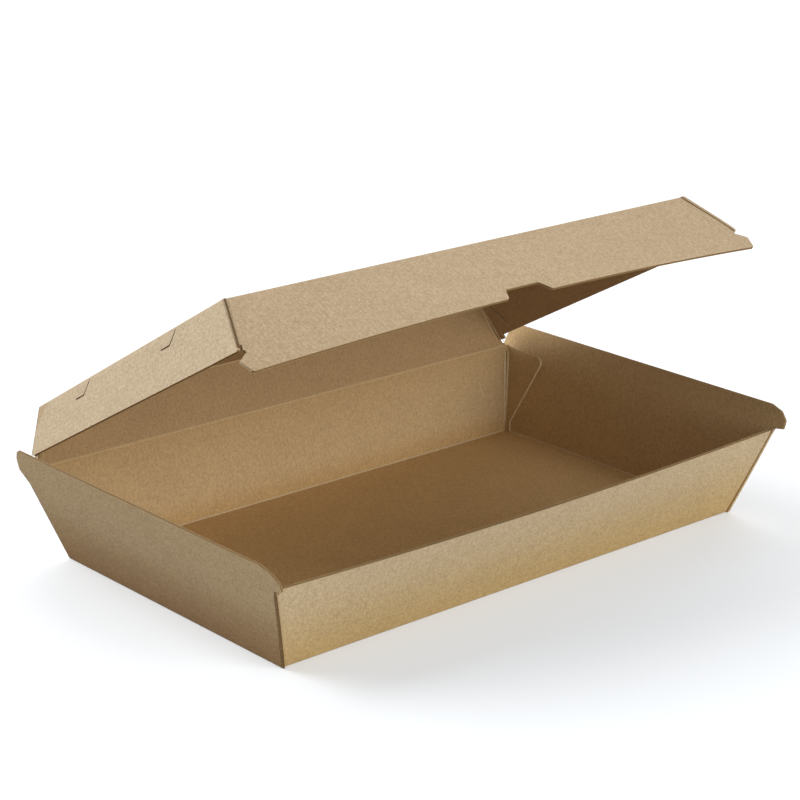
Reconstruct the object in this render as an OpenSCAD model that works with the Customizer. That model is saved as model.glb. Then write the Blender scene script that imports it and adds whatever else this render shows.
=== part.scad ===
// Takeaway box, folded and glued from one blank of kraft microflute board.
// The tray flares outward on all four sides. The lid is a shallow flared cover on a
// crease along the top of the tray's back wall, and its front flap closes over the
// tray's front wall.
// X runs along the hinge crease, Y to the back and Z up. The origin is the centre of
// the tray's underside. Both pieces have walls that rise from a flat panel, so the lid
// is folded upside down in the same way as the tray and then turned over.

/* [Board] */
// Thickness of the board
board_t = 1.2; // [0.9:0.1:1.6]
// How far glued boards press into each other
glue_sink = 0.15; // [0.05:0.05:0.3]
// How far a raw side edge stands past the wall that is folded behind it
edge_proud = 0.4; // [0.2:0.1:1.2]

/* [Tray] */
// Length of the bottom between the end creases
tray_l = 264; // [200:1:320]
// Width of the bottom between the long creases
tray_w = 150; // [120:1:180]
// Height of the front rim and of the hinge crease
tray_h = 41; // [34:1:52]
// How far the front wall leans out over its height
front_flare = 13.5; // [9:0.5:17]
// How far the back wall leans out over its height
back_flare = 12.5; // [9:0.5:17]
// Lean of the end walls from upright
end_lean = 18.8; // [14:0.1:24]
// Height of the end walls above the front rim, along their slope
end_rise = 11; // [9:0.5:15]

/* [Tray ears] */
// How far the front ears stand out past the front wall
front_ear = 5; // [3:0.1:6]
// Height of the gap between the front rim and the underside of a front ear
front_ear_lift = 0.4; // [0.2:0.1:1.5]
// How far the back ears stand out past the back wall
back_ear = 3.6; // [2:0.1:5]
// Distance from the back ears' upper end to where their underside starts
back_ear_h = 17; // [14:0.5:20]

/* [Tray glue tabs] */
// Length of the glue tabs of the front wall along the end wall
front_tab_l = 27; // [18:0.5:34]
// Length of the glue tabs of the back wall along the end wall
back_tab_l = 26; // [18:0.5:34]
// Distance from the bottom to the lowest point of the glue tabs, up the slope
tab_foot = 2.4; // [2:0.1:5]

/* [Lid] */
// Height of the lid's top above the rim when the lid is closed
lid_h = 25.5; // [20:0.5:30]
// How far the lid's rear crease lies in front of the hinge crease
rear_inset = 5; // [2:0.5:8]
// How far the lid's front crease lies behind the front rim
front_inset = 14.5; // [12:0.5:18]
// How much shorter the lid's top is than the tray's bottom
lid_shorter = 2; // [0:0.5:6]
// Gap between the closed lid's side walls and the tray's end walls at the rim
side_gap = 1.8; // [1:0.1:3]
// Depth of the lid's side walls at the hinge, along their slope
side_d_rear = 22; // [18:0.5:23]
// Depth of the lid's side walls at the front, along their slope
side_d_front = 26; // [22:0.5:27]
// How far the lid stands open, from its top level with the rims
lid_open = 30; // [1:1:180]
// How far the closed lid's top rises towards the front
closed_rise = 0.6; // [0:0.1:0.8]

/* [Flap] */
// Length of the front flap, down its slope
flap_l = 39; // [36:0.5:44]
// Gap between the closed flap and the front rim
flap_gap = 0.5; // [0.3:0.1:1.5]
// Height of the slots above the flap's ears
slot_h = 2; // [1.2:0.1:3]
// How far the slots cut in past the corner folds
slot_in = 3; // [2:0.5:5]
// Gap between the flap's ear tips and the tray's front ears as they pass
ear_gap = 0.4; // [0.3:0.1:1]
// How far the flap's ears draw in at the lower edge
ear_draw = 2.2; // [1:0.1:4]
// Width of the finger notch at the flap's lower edge
notch_w = 25; // [18:0.5:34]
// Width of the finger notch at its inner end
notch_top_w = 18.5; // [12:0.5:17.5]
// Depth of the finger notch
notch_d = 6; // [4:0.5:9]

/* [Lid glue tabs] */
// Length of the rear wall's glue tabs along the lid's side wall
rear_lid_tab_l = 9; // [6:0.5:14]
// Length of the flap's glue tabs along the lid's side wall
flap_tab_l = 16; // [10:0.5:22]

/* [Vents] */
// Distances of the vent slits from the lid's rear crease
vent_at = [46.6, 120.2];
// How far a vent slit slants back on its way down
vent_slant = 4.3; // [2:0.1:7]
// How far down a vent slit goes
vent_drop = 6.6; // [4:0.1:9]
// Length of a vent slit's level end
vent_tail = 6.8; // [3:0.1:10]
// Width of a vent slit
vent_w = 0.7; // [0.5:0.1:1.2]

/* [Hinge crease] */
// Radius of the bead that the lid turns on
bead_r = 0.35; // [0.25:0.05:0.5]
// Gap between the bead and the lid's rear wall
hinge_gap = 0.3; // [0.25:0.05:0.4]

/* [Hidden] */

// The front and back walls of the tray. The hinge crease is the back wall's rim.
front_rim = tray_w / 2 + front_flare;
hinge = tray_w / 2 + back_flare;
rim_w = front_rim + hinge;
front_lean = atan(front_flare / tray_h);
front_slope = tray_h / cos(front_lean);
back_lean = atan(back_flare / tray_h);
back_slope = tray_h / cos(back_lean);

// The end walls of the tray, and the half length inside them at the height of the rim
rim_slope = tray_h / cos(end_lean);
end_slope = rim_slope + end_rise;
inner_half_l = tray_l / 2 + tray_h * tan(end_lean) - board_t / cos(end_lean);

// The lid's creases, as distances from the middle of the tray
lid_l = tray_l - lid_shorter;
front_crease = front_rim - front_inset;
rear_crease = hinge - rear_inset;
rear_lean = atan(rear_inset / lid_h);
rear_slope = lid_h / cos(rear_lean);
side_lean = atan((inner_half_l - side_gap - lid_l / 2) / lid_h);

// The front rim as the closed lid's front crease sees it: how far forward and down.
// The flap leans out so far that its inner face clears that rim by flap_gap.
rim_ahead = front_inset - rim_w * (1 - cos(closed_rise));
rim_below = lid_h + rim_w * sin(closed_rise);
flap_lean = atan(rim_ahead / rim_below)
    + asin((board_t + flap_gap) / norm([rim_ahead, rim_below]));

// The flap's slots start where the side walls end. Its ears reach out under the
// tray's front ears when the lid is closed.
slot_at = side_d_front * cos(side_lean) / cos(flap_lean);
ear_at = slot_at + slot_h;
ear_tip = inner_half_l - ear_gap;
ear_tip_at = (rim_below + ear_gap - front_ear_lift * cos(end_lean)) / cos(flap_lean);

// The rear wall stops short of the hinge axis, and its inner edge is mitred so that
// it clears the top of the back wall when the lid is closed
closed_bend = back_lean + rear_lean - closed_rise;
rear_outer = rear_slope - bead_r - hinge_gap;
rear_inner = rear_slope - (hinge_gap + board_t * sin(closed_bend)) / cos(closed_bend);

// Glued boards lie this far in from the outer face of the wall that covers them
tab_in = 2 * board_t - glue_sink;

// Flats in each rounded fold, length of its legs, and how far they lie inside the boards
fold_steps = 6;
fold_leg = 3;
fold_inset = 0.03;
// Longer than the box is in any direction
far = 2 * tray_l;

function unit(v) = v / norm(v);
function flip(pts) = [for (i = [len(pts) - 1 : -1 : 0]) pts[i]];
function mirrored(pts) = flip([for (p = pts) [-p.x, p.y, p.z]]);

// One corner q = [x, y, r] of an outline, rounded between its neighbours p and s
function round_corner(p, q, s) =
    let (
        at = [q.x, q.y],
        u = unit([p.x, p.y] - at),
        v = unit([s.x, s.y] - at),
        half = acos(u * v) / 2,
        centre = at + unit(u + v) * q.z / sin(half),
        from = at + u * q.z / tan(half) - centre,
        to = at + v * q.z / tan(half) - centre,
        a0 = atan2(from.y, from.x),
        turn = (atan2(to.y, to.x) - a0 + 540) % 360 - 180
    )
    q.z == 0
        ? [at]
        : [for (i = [0 : fold_steps])
            centre + q.z * [cos(a0 + turn * i / fold_steps), sin(a0 + turn * i / fold_steps)]];

function rounded(pts) =
    let (n = len(pts))
    [for (i = [0 : n - 1]) each round_corner(pts[(i + n - 1) % n], pts[i], pts[(i + 1) % n])];

// Section through the fold between a flat panel and a wall that rises on its left:
// the rounded outside of the fold, the wall's outer face, its cut edge, its inner face
// and the inside of the fold. The panel and the wall meet at the origin.
function wall_section(lean, outer, inner) =
    let (
        inside = board_t * [tan((90 - lean) / 2), 1],
        up = [-sin(lean), cos(lean)],
        inward = [cos(lean), sin(lean)]
    )
    concat(
        [for (i = [0 : fold_steps])
            let (a = 270 - (90 - lean) * i / fold_steps)
            inside + board_t * [cos(a), sin(a)]],
        [outer * up, inner * up + board_t * inward, inside]
    );

// Section of a panel between the creases at -a and b, with a wall folded up at each
function strip_section(a, wall_a, b, wall_b) = concat(
    [for (p = wall_a) [p.x - a, p.y]],
    flip([for (p = wall_b) [b - p.x, p.y]])
);

// Children are drawn on a wall's outer face: x along the crease, y up the slope and
// z outward. The crease of a long wall lies at y = -d, that of an end wall at x = -l.
module on_long_wall(d, lean) {
    translate([0, -d, 0])
        rotate([90 + lean, 0, 0])
            children();
}

module on_end_wall(l, lean) {
    rotate([0, 0, -90])
        on_long_wall(l, lean)
            children();
}

module both_ends() {
    children();
    mirror([1, 0, 0])
        children();
}

// Front wall, panel and back wall as one folded strip along X
module long_strip(section) {
    rotate([90, 0, 90])
        linear_extrude(far, center = true)
            polygon(section);
}

// End wall, panel and end wall as one folded strip along Y
module cross_strip(section) {
    rotate([90, 0, 0])
        linear_extrude(far, center = true)
            polygon(section);
}

// Everything between the inner faces of the glue tabs at the two ends
module between_tabs(l, lean) {
    low = l - tab_in / cos(lean) - far * tan(lean) / 4;
    high = l - tab_in / cos(lean) + far * tan(lean) / 4;
    cross_strip([[-low, -far / 4], [low, -far / 4], [high, far / 4], [-high, far / 4]]);
}

// A prism through a wall's board, with the outline drawn on the wall's face
module through_wall(outline) {
    translate([0, 0, -board_t - 0.05])
        linear_extrude(board_t + 0.1)
            polygon(outline);
}

// End walls with their bottom folds, out of a strip that crosses the panel
module end_walls(l, lean, slope, front, back, outline) {
    margin = 10;
    wall = wall_section(lean, slope + 5, slope + 5);
    intersection() {
        cross_strip(strip_section(l, wall, l, wall));
        union() {
            both_ends()
                on_end_wall(l, lean)
                    through_wall(outline);
            both_ends()
                translate([-l + board_t, -front + board_t, -1])
                    cube([margin, front + back - 2 * board_t, board_t + 1.2]);
        }
    }
}

// The rounded fold where a long wall turns the corner into its glue tab. It runs along
// the line in which the inner faces of the two boards meet.
module corner_fold(l, end_lean, d, long_lean, slope) {
    n_long = [0, -cos(long_lean), -sin(long_lean)];
    n_end = [-cos(end_lean), 0, -sin(end_lean)];
    along = -unit(cross(n_long, n_end));
    leg = cross(along, n_long);
    turn = acos(n_long * n_end);
    r = board_t - fold_inset;
    to_tab = [-sin(turn), -cos(turn)];
    foot = [tab_in / cos(end_lean) - l, board_t / cos(long_lean) - d, 0];
    intersection() {
        multmatrix([
            [n_long.x, leg.x, along.x, foot.x],
            [n_long.y, leg.y, along.y, foot.y],
            [n_long.z, leg.z, along.z, foot.z]
        ])
            linear_extrude(2 * slope, center = true)
                polygon(concat(
                    [[fold_inset, fold_leg], [r, fold_leg]],
                    [for (i = [0 : fold_steps])
                        r * [cos(turn * i / fold_steps), -sin(turn * i / fold_steps)]],
                    [
                        r * [cos(turn), -sin(turn)] + fold_leg * to_tab,
                        fold_inset * [cos(turn), -sin(turn)] + fold_leg * to_tab,
                        fold_inset * [1, -tan(turn / 2)]
                    ]
                ));
        on_long_wall(d, long_lean)
            translate([-far / 2, board_t / 3, -fold_leg - 3 * board_t])
                cube([far, slope - board_t / 3 - fold_inset, fold_leg + 4 * board_t]);
    }
}

// A glue tab behind an end wall, kept behind the middle of the long wall it belongs to
module glue_tab(l, end_lean, d, long_lean, outline) {
    intersection() {
        on_end_wall(l, end_lean)
            translate([0, 0, -tab_in])
                linear_extrude(board_t)
                    polygon(outline);
        on_long_wall(d, long_lean)
            translate([-far / 2, -far / 2, -far - board_t / 2])
                cube([far, far, far]);
    }
}

// Tray

// Distances of the front and back walls' outer faces from the middle of the tray, at
// a distance up the slope of the end wall
function front_face(up) = tray_w / 2 + up * cos(end_lean) * tan(front_lean);
function back_face(up) = tray_w / 2 + up * cos(end_lean) * tan(back_lean);

// The end wall, with the front at positive x: a front ear with a level underside
// just above the rim, and a back ear that flares out of the back edge
function end_outline() =
    let (
        ear_foot = rim_slope + front_ear_lift,
        edge = front_face(ear_foot) + edge_proud,
        back_foot = end_slope - back_ear_h,
        back_edge = back_face(rim_slope) + back_ear
    )
    rounded([
        [front_face(0) + edge_proud, -1, 0],
        [edge, ear_foot, 0.6],
        [edge + front_ear, ear_foot + 0.8, 1],
        [edge + front_ear, end_slope - 5.6, 2],
        [edge + front_ear - 3.6, end_slope - 2, 2],
        [edge - 5, end_slope, 4],
        [-back_edge + 4.5, end_slope, 2],
        [-back_edge + 1.5, end_slope - 4.5, 2],
        [-back_edge, rim_slope, 2],
        [-back_face(back_foot) - edge_proud, back_foot, 3],
        [-back_face(0) - edge_proud, -1, 0]
    ]);

function front_tab_outline() =
    let (top = rim_slope - 1.5, free = front_face(top) - front_tab_l)
    rounded([
        [front_face(0) + 3, tab_foot, 0],
        [front_face(0) - 2, tab_foot, 1],
        [free, 12, 2.5],
        [free, top - 6, 2.5],
        [free + 8, top - 1.5, 3],
        [front_face(top) + 3, top, 0]
    ]);

function back_tab_outline() =
    let (top = rim_slope - 0.8, free = back_face(top) - back_tab_l)
    rounded([
        [-back_face(0) - 3, tab_foot, 0],
        [-back_face(0) + 1.5, tab_foot, 0.5],
        [-free, top - 3.5, 2.5],
        [-free - 3, top - 1.5, 2],
        [-back_face(top) - 3, top, 0]
    ]);

module tray_corners() {
    half_l = tray_l / 2;
    half_w = tray_w / 2;
    both_ends() {
        corner_fold(half_l, end_lean, half_w, front_lean, front_slope);
        glue_tab(half_l, end_lean, half_w, front_lean, front_tab_outline());
        mirror([0, 1, 0]) {
            corner_fold(half_l, end_lean, half_w, back_lean, back_slope);
            glue_tab(half_l, end_lean, half_w, back_lean,
                flip([for (p = back_tab_outline()) [-p.x, p.y]]));
        }
    }
}

module hinge_bead() {
    length = 2 * (inner_half_l - tab_in);
    translate([-length / 2, hinge, tray_h])
        rotate([0, 90, 0])
            cylinder(h = length, r = bead_r, $fn = 32);
}

module tray() {
    front = wall_section(front_lean, front_slope, front_slope);
    back = wall_section(back_lean, back_slope, back_slope);
    color("#b8976c") {
        intersection() {
            long_strip(strip_section(tray_w / 2, front, tray_w / 2, back));
            between_tabs(tray_l / 2, end_lean);
        }
        end_walls(tray_l / 2, end_lean, end_slope, tray_w / 2, tray_w / 2, end_outline());
        tray_corners();
        hinge_bead();
    }
}

// Lid, folded upside down: z is the depth below the outer face of its top

// Distances of the flap's and the rear wall's outer faces from the middle of the tray,
// at a distance down the slope of the lid's side wall
function flap_face(down) = front_crease + down * cos(side_lean) * tan(flap_lean);
function rear_face(down) = rear_crease + down * cos(side_lean) * tan(rear_lean);

// Half width of the flap between its glue tabs, at a distance down its slope
function flap_half_w(down) =
    lid_l / 2 + down * cos(flap_lean) * tan(side_lean) - tab_in / cos(side_lean);

function side_outline() = rounded([
    [front_crease + edge_proud, -1, 0],
    [flap_face(side_d_front) + edge_proud, side_d_front, 1.2],
    [-rear_face(side_d_rear) - edge_proud, side_d_rear, 1.5],
    [-rear_crease - edge_proud, -1, 0]
]);

// Half of the flap's outline: finger notch, ear, slot and the side that folds over
function half_flap() =
    let (fold = flap_half_w(slot_at) + tab_in / cos(side_lean))
    [
        [notch_top_w / 2, flap_l - notch_d, 1.5],
        [notch_w / 2, flap_l, 1.5],
        [ear_tip - ear_draw, flap_l, 1.2],
        [ear_tip, ear_tip_at + 0.6, 0.6],
        [ear_tip - 1, ear_tip_at, 0.8],
        [fold - slot_in + 0.8, ear_at, 0.5],
        [fold - slot_in, ear_at, 0.5],
        [fold - slot_in, slot_at, 0.9],
        [flap_half_w(slot_at), slot_at, 0],
        [flap_half_w(-1), -1, 0]
    ];

function flap_outline() = rounded(concat(half_flap(), mirrored(half_flap())));

function flap_tab_outline() =
    let (low = side_d_front - 2.5, free = flap_face(low) - flap_tab_l)
    rounded([
        [front_crease + 3, 2, 0],
        [front_crease - 1, 2, 0.5],
        [free, low - 5, 2],
        [free + 4, low, 2],
        [flap_face(low) + 3, low, 0]
    ]);

function rear_lid_tab_outline() =
    let (low = side_d_rear - 2.5)
    rounded([
        [-rear_crease - 3, 2.6, 0],
        [-rear_crease + rear_lid_tab_l / 2, 2.6, 1],
        [-rear_crease + rear_lid_tab_l, low, 1.5],
        [-rear_face(low) - 3, low, 0]
    ]);

// A slit that slants back from the top crease and ends level, through the side wall
module vent_slit() {
    linear_extrude(4 * board_t, center = true)
        polygon([
            [0, board_t],
            [-vent_slant, vent_drop],
            [-vent_slant - vent_tail, vent_drop],
            [-vent_slant - vent_tail, vent_drop + vent_w],
            [-vent_slant + vent_w / 2, vent_drop + vent_w],
            [vent_w, board_t]
        ]);
}

module lid_sides() {
    difference() {
        end_walls(lid_l / 2, side_lean, side_d_front, front_crease, rear_crease,
            side_outline());
        both_ends()
            on_end_wall(lid_l / 2, side_lean)
                for (at = vent_at)
                    translate([at - rear_crease, 0, 0])
                        vent_slit();
    }
}

// The rear wall and the flap are one strip with the top. The flap keeps its own
// outline, and the rest ends at the glue tabs.
module lid_strip() {
    flap = wall_section(flap_lean, flap_l + 5, flap_l + 5);
    rear = wall_section(rear_lean, rear_outer, rear_inner);
    intersection() {
        long_strip(strip_section(front_crease, flap, rear_crease, rear));
        union() {
            intersection() {
                between_tabs(lid_l / 2, side_lean);
                translate([-far / 2, -front_crease + board_t, -far / 2])
                    cube(far);
            }
            on_long_wall(front_crease, flap_lean)
                through_wall(flap_outline());
        }
    }
}

module lid_corners() {
    both_ends() {
        corner_fold(lid_l / 2, side_lean, front_crease, flap_lean, slot_at);
        glue_tab(lid_l / 2, side_lean, front_crease, flap_lean, flap_tab_outline());
        mirror([0, 1, 0]) {
            corner_fold(lid_l / 2, side_lean, rear_crease, rear_lean, rear_inner);
            glue_tab(lid_l / 2, side_lean, rear_crease, rear_lean,
                flip([for (p = rear_lid_tab_outline()) [-p.x, p.y]]));
        }
    }
}

// The lid turned over onto the tray and swung open about the hinge crease
module lid() {
    color("#bfa17a")
        translate([0, hinge, tray_h])
            rotate([-lid_open, 0, 0])
                translate([0, -hinge, lid_h])
                    mirror([0, 0, 1]) {
                        lid_strip();
                        lid_sides();
                        lid_corners();
                    }
}

tray();
lid();
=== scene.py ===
"""Takeaway box of kraft microflute board: a flared tray with a hinged lid.

The two folded pieces are the CAD nodes' own meshes, merged into flat panels, cut into
a fine grid, bowed as the sprung board is, unfolded for their paper and their cut
edges, and given the board's finishes.
"""

import logging
import math
from dataclasses import dataclass, field
from enum import IntEnum

import bmesh
import bpy
from mathutils import Matrix, Vector, noise


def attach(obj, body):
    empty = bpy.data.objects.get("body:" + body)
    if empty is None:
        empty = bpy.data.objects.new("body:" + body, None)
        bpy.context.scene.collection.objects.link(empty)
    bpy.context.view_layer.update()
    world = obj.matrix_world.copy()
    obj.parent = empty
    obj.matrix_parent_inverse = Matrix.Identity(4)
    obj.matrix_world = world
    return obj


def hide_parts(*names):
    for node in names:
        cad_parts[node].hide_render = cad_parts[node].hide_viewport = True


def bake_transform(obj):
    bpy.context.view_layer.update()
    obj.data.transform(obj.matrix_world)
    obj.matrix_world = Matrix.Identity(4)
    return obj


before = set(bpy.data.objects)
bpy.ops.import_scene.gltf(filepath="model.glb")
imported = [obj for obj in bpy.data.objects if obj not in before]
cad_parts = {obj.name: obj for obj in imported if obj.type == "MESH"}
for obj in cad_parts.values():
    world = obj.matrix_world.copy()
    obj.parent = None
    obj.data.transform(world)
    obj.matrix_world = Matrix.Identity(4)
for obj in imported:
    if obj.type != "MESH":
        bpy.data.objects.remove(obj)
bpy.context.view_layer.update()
log = logging.getLogger("takeaway_box")

MM = 0.001
# The inside liner's coordinates lie this many millimetres along from the outside's
INSIDE_ROW = 700.0
# Folds sharper than this shade as edges on the creases, the painted seam shade and the tongues
TUBE_EDGE = math.radians(50)


# ---- Small helpers


def linear(code: str) -> tuple[float, float, float, float]:
    """Turn an sRGB hex colour into linear values.

    Args:
        code: Colour such as "#b5956a".

    Returns:
        Red, green, blue and alpha, linear, with alpha 1.
    """
    values = [int(code[i : i + 2], 16) / 255 for i in (1, 3, 5)]
    scene_linear = [
        v / 12.92 if v <= 0.04045 else ((v + 0.055) / 1.055) ** 2.4 for v in values
    ]
    return (*scene_linear, 1.0)


def add_node(
    tree: bpy.types.NodeTree,
    kind: str,
    inputs: dict | None = None,
    **settings: object,
) -> bpy.types.Node:
    """Add a node with its settings, values and links.

    Args:
        tree: Tree that the node goes into.
        kind: Blender's name for the kind of node.
        inputs: Socket name or number, and a value or the socket that feeds it.
        settings: Properties of the node itself.

    Returns:
        The new node.
    """
    node = tree.nodes.new(kind)
    for name, value in settings.items():
        setattr(node, name, value)
    for socket, value in (inputs or {}).items():
        if isinstance(value, bpy.types.NodeSocket):
            tree.links.new(value, node.inputs[socket])
        else:
            node.inputs[socket].default_value = value
    return node


def bare_material(name: str) -> tuple[bpy.types.Material, bpy.types.NodeTree]:
    """Make a material with an empty node tree.

    Args:
        name: Name of the material.

    Returns:
        The material and its node tree.
    """
    material = bpy.data.materials.new(name)
    material.use_nodes = True
    material.node_tree.nodes.clear()
    return material, material.node_tree


def new_object(name: str, data: bpy.types.ID) -> bpy.types.Object:
    """Link a new object to the scene.

    Args:
        name: Name of the object.
        data: Its mesh in metres in the row frame, or its lamp or camera.

    Returns:
        The new object.
    """
    piece = bpy.data.objects.new(name, data)
    bpy.context.scene.collection.objects.link(piece)
    return piece


def swept_mesh(
    name: str, rings: list[list[Vector]], blank: tuple[float, float] = (0.0, 0.0)
) -> bpy.types.Mesh:
    """Skin a closed tube over rings of points and cap its ends.

    Args:
        name: Name of the mesh.
        rings: Rings of equally many points, in millimetres.
        blank: Where the tube starts in the unfolded blank, in millimetres.

    Returns:
        The mesh in metres, with the board's two sets of coordinates.
    """
    bm = bmesh.new()
    uv = bm.loops.layers.uv.new("blank")
    ply = bm.loops.layers.uv.new("ply")
    rows = [[bm.verts.new(p * MM) for p in ring] for ring in rings]
    run = [0.0]
    for a, b in zip(rings, rings[1:]):
        run.append(run[-1] + (b[0] - a[0]).length)
    count = len(rings[0])
    across = 0.4
    for i in range(len(rows) - 1):
        for j in range(count):
            k = (j + 1) % count
            face = bm.faces.new([rows[i][j], rows[i][k], rows[i + 1][k], rows[i + 1][j]])
            face.smooth = True
            corners = ((i, j), (i, j + 1), (i + 1, j + 1), (i + 1, j))
            for loop, (a, b) in zip(face.loops, corners):
                loop[uv].uv = (blank[0] + run[a], blank[1] + across * b)
                loop[ply].uv = (blank[0] + run[a], b / count)
    for row in (rows[0][::-1], rows[-1]):
        bm.faces.new(row)
    bmesh.ops.recalc_face_normals(bm, faces=bm.faces)
    mesh = bpy.data.meshes.new(name)
    bm.to_mesh(mesh)
    bm.free()
    mesh.set_sharp_from_angle(angle=TUBE_EDGE)
    return mesh


def join_meshes(name: str, meshes: list[bpy.types.Mesh]) -> bpy.types.Mesh:
    """Put several meshes into one.

    Args:
        name: Name of the joined mesh.
        meshes: Meshes with the same layers, which are used up.

    Returns:
        The joined mesh.
    """
    bm = bmesh.new()
    for mesh in meshes:
        bm.from_mesh(mesh)
        bpy.data.meshes.remove(mesh)
    joined = bpy.data.meshes.new(name)
    bm.to_mesh(joined)
    bm.free()
    joined.set_sharp_from_angle(angle=TUBE_EDGE)
    return joined


# ---- Finishes


class Face(IntEnum):
    """Which finish a face of the board takes, by its material slot."""

    OUTSIDE = 0
    INSIDE = 1
    CUT = 2
    # Scored liner: worn, and paler in part as a painted highlight
    WORN = 3
    # Painted shade in the corners' gaps
    SEAM = 4


@dataclass(frozen=True)
class KraftLiner:
    """Uncoated kraft linerboard, made on a paper machine from unbleached pulp.

    To the eye it is a dead matt tan with a fine salt-and-pepper grain, a few dark
    specks of bark, pale stray fibres along the machine direction, and faint stripes
    where the flutes press through. The tints towards the bottom folds, one on the long
    walls and one on the end walls, are painted light and shade, and the tint up to the
    hinge's crease is painted shade. All lengths are millimetres.
    """

    name: str
    colour: str = "#b29b7b"
    dark_grain: str = "#8f7753"
    pale_grain: str = "#d1bd9e"
    speck: str = "#755635"
    roughness: float = 0.86
    flake_mm: float = 0.7
    grain_mm: float = 0.66
    cloud_mm: float = 22.0
    speck_apart_mm: float = 4.5
    flute_mm: float = 2.3
    stripe: float = 0.015
    # Painted light and shade: the tints towards the bottom folds, and on the end walls
    painted_light_tint: tuple[float, float, float] | None = None
    painted_light_ends: tuple[float, float, float] = (1.0, 1.0, 1.0)
    gilt_middle: tuple[float, float] = (0.0, 0.0)
    gilt_from: tuple[float, float] = (132.0, 75.0)
    gilt_over: float = 40.0
    # Painted shade: darker up to the hinge's crease, where the lid shades the wall
    painted_rim_shade: tuple[float, float, float] | None = None
    rim_from: float = INSIDE_ROW + 84.0
    rim_over: float = 34.0

    def make(self) -> bpy.types.Material:
        """Build the node tree.

        Returns:
            The material. Its coordinates are millimetres in the unfolded blank.
        """
        material, tree = bare_material(self.name)
        blank = add_node(tree, "ShaderNodeUVMap", uv_map="blank")
        split = add_node(tree, "ShaderNodeSeparateXYZ", {0: blank.outputs[0]})
        phase = add_node(
            tree,
            "ShaderNodeMath",
            {0: split.outputs["X"], 1: 2 * math.pi / self.flute_mm},
            operation="MULTIPLY",
        )
        flutes = add_node(tree, "ShaderNodeMath", {0: phase.outputs[0]}, operation="SINE")
        colour = self.pulp(tree, blank.outputs[0], flutes.outputs[0])
        colour = self.fleck(tree, blank.outputs[0], colour)
        # Painted light and shade towards the bottom folds
        if self.painted_light_tint:
            colour = self.paint_light_by_folds(tree, split, colour)
        # Painted shade up to the hinge's crease
        if self.painted_rim_shade:
            rise = add_node(
                tree,
                "ShaderNodeMapRange",
                {
                    "Value": split.outputs["Y"],
                    "From Min": self.rim_from,
                    "From Max": self.rim_from + self.rim_over,
                },
            )
            colour = self.tint(tree, colour, rise.outputs[0], self.painted_rim_shade)
        # The sheet's tooth and the flutes under it, as a relief of some microns
        tooth = add_node(
            tree,
            "ShaderNodeTexNoise",
            {
                "Vector": blank.outputs[0],
                "Scale": 1 / self.grain_mm,
                "Detail": 3.0,
                "Roughness": 0.62,
            },
        )
        height = add_node(
            tree,
            "ShaderNodeMath",
            {0: flutes.outputs[0], 1: 0.12, 2: tooth.outputs["Fac"]},
            operation="MULTIPLY_ADD",
        )
        bump = add_node(
            tree,
            "ShaderNodeBump",
            {"Height": height.outputs[0], "Strength": 0.06, "Distance": 0.00012},
        )
        shader = add_node(
            tree,
            "ShaderNodeBsdfPrincipled",
            {
                "Base Color": colour,
                "Roughness": self.roughness,
                "Specular IOR Level": 0.3,
                "Normal": bump.outputs[0],
            },
        )
        add_node(tree, "ShaderNodeOutputMaterial", {0: shader.outputs[0]})
        return material

    def pulp(
        self,
        tree: bpy.types.NodeTree,
        blank: bpy.types.NodeSocket,
        flutes: bpy.types.NodeSocket,
    ) -> bpy.types.NodeSocket:
        """Colour the sheet: flakes of fibre, cloudy formation and the flutes' stripes.

        Args:
            tree: The material's nodes.
            blank: The place in the blank.
            flutes: A wave that follows the flutes, -1 to 1.

        Returns:
            The sheet's colour.
        """
        # Flakes of fibre under a millimetre, each of its own tone
        flakes = add_node(
            tree,
            "ShaderNodeTexVoronoi",
            {"Vector": blank, "Scale": 1 / self.flake_mm, "Randomness": 1.0},
        )
        tone = add_node(
            tree,
            "ShaderNodeMapRange",
            {"Value": flakes.outputs["Color"], "From Min": -0.5, "From Max": 1.5},
        )
        flaked = add_node(
            tree,
            "ShaderNodeMix",
            {
                "Factor": tone.outputs[0],
                6: linear(self.dark_grain),
                7: linear(self.pale_grain),
            },
            data_type="RGBA",
        )
        base = add_node(
            tree,
            "ShaderNodeMix",
            {"Factor": 0.9, 6: linear(self.colour), 7: flaked.outputs[2]},
            data_type="RGBA",
        )
        # Cloudy sheet formation, centimetres across
        cloud = add_node(
            tree,
            "ShaderNodeTexNoise",
            {"Vector": blank, "Scale": 1 / self.cloud_mm, "Detail": 4.0, "Roughness": 0.55},
        )
        cloud_tone = add_node(
            tree,
            "ShaderNodeMapRange",
            {
                "Value": cloud.outputs["Fac"],
                "From Min": 0.3,
                "From Max": 0.7,
                "To Min": 0.97,
                "To Max": 1.025,
            },
        )
        stripe = add_node(
            tree,
            "ShaderNodeMath",
            {0: flutes, 1: self.stripe, 2: cloud_tone.outputs[0]},
            operation="MULTIPLY_ADD",
        )
        return add_node(
            tree,
            "ShaderNodeVectorMath",
            {0: base.outputs[2], 1: stripe.outputs[0]},
            operation="MULTIPLY",
        ).outputs[0]

    def fleck(
        self,
        tree: bpy.types.NodeTree,
        blank: bpy.types.NodeSocket,
        colour: bpy.types.NodeSocket,
    ) -> bpy.types.NodeSocket:
        """Strew pale fibres and dark bark specks over the sheet.

        Args:
            tree: The material's nodes.
            blank: The place in the blank.
            colour: The sheet's colour so far.

        Returns:
            The flecked colour.
        """
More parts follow.
